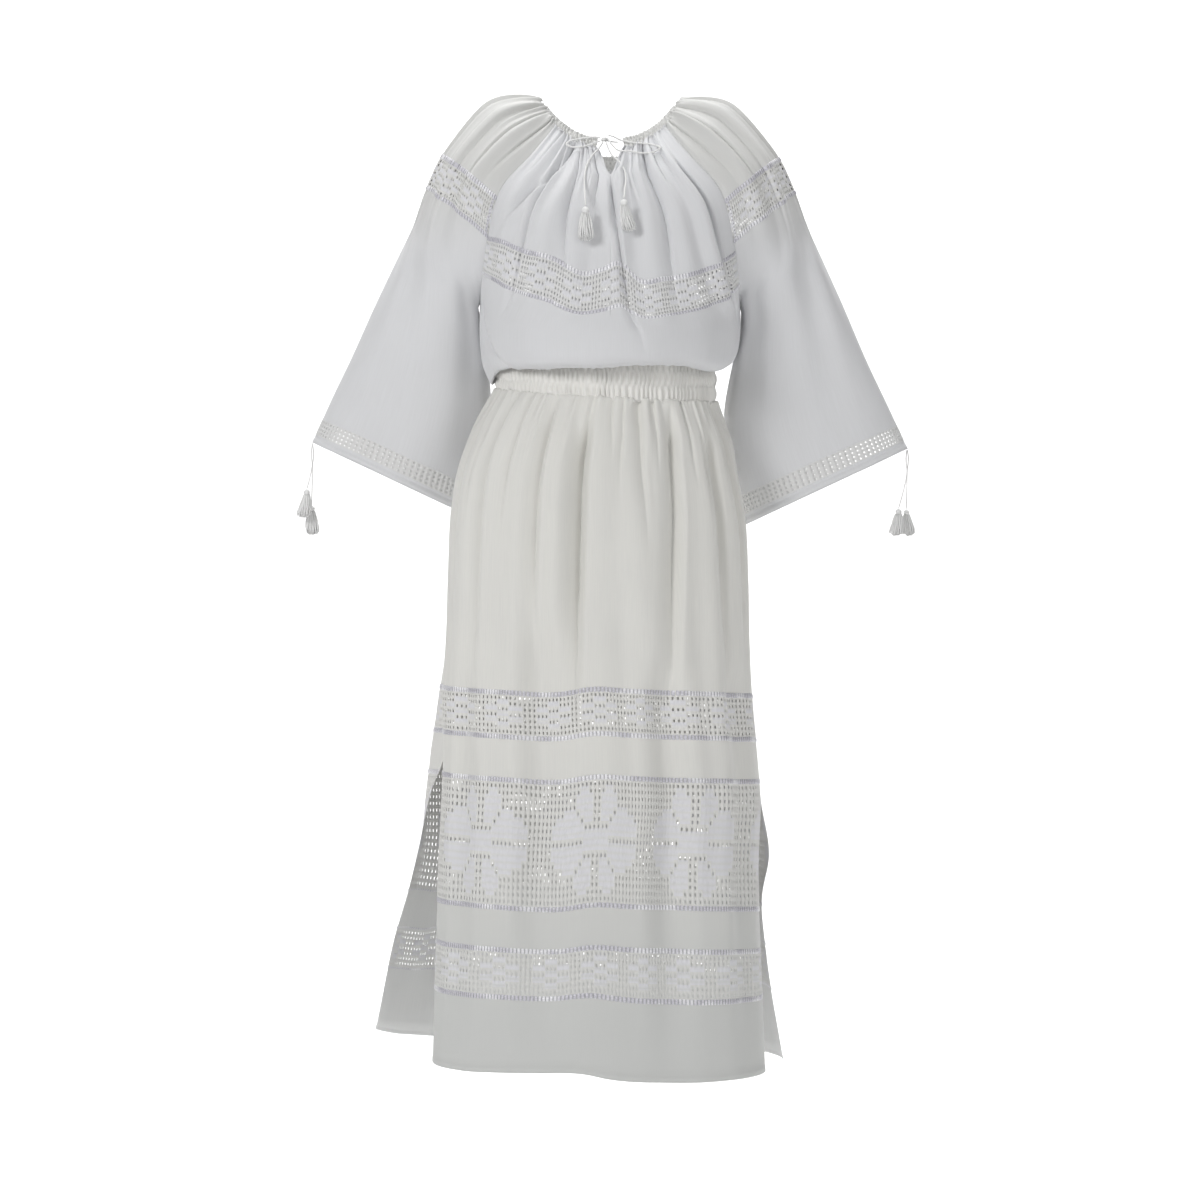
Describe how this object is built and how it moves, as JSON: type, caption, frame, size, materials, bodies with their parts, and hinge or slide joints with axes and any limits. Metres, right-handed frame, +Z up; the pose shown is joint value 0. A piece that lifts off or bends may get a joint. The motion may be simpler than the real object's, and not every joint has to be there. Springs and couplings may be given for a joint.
{
  "type": "midi dress",
  "caption": "White folk-style midi dress, filled out as worn: drawstring neck with keyhole, bow and tassels, wide sleeves, shirred waist, side slits and openwork bands.",
  "frame": {"origin": "where the wearer's shoulders hold the dress, between the shoulder tops at their height", "axes": "+Z up, the front faces -Y, +X towards the right side of the picture"},
  "size_m": [0.7564, 0.3098, 1.1733],
  "materials": {
    "cotton_cloth": "thin plain-woven white cotton with openwork bands and shiny lilac-silver satin lines",
    "tie_cord": "twisted white cotton cord",
    "tassel_yarn": "soft white cotton yarn"
  },
  "bodies": {
    "root": {"blouse_front": "cotton_cloth", "blouse_back": "cotton_cloth", "sleeve_left": "cotton_cloth", "sleeve_right": "cotton_cloth", "neck_casing": "cotton_cloth", "waistband": "cotton_cloth", "skirt_front": "cotton_cloth", "skirt_back": "cotton_cloth", "tie_knot": "tie_cord", "tie_loop_left": "tie_cord", "tie_loop_right": "tie_cord", "tie_end_left": "tie_cord", "tie_end_right": "tie_cord", "cuff_tie_left_a": "tie_cord", "cuff_tie_left_b": "tie_cord", "cuff_tie_right_a": "tie_cord", "cuff_tie_right_b": "tie_cord", "tassel_neck_left": "tassel_yarn", "tassel_neck_right": "tassel_yarn", "tassel_cuff_left_a": "tassel_yarn", "tassel_cuff_left_b": "tassel_yarn", "tassel_cuff_right_a": "tassel_yarn", "tassel_cuff_right_b": "tassel_yarn"}
  },
  "joints": []
}
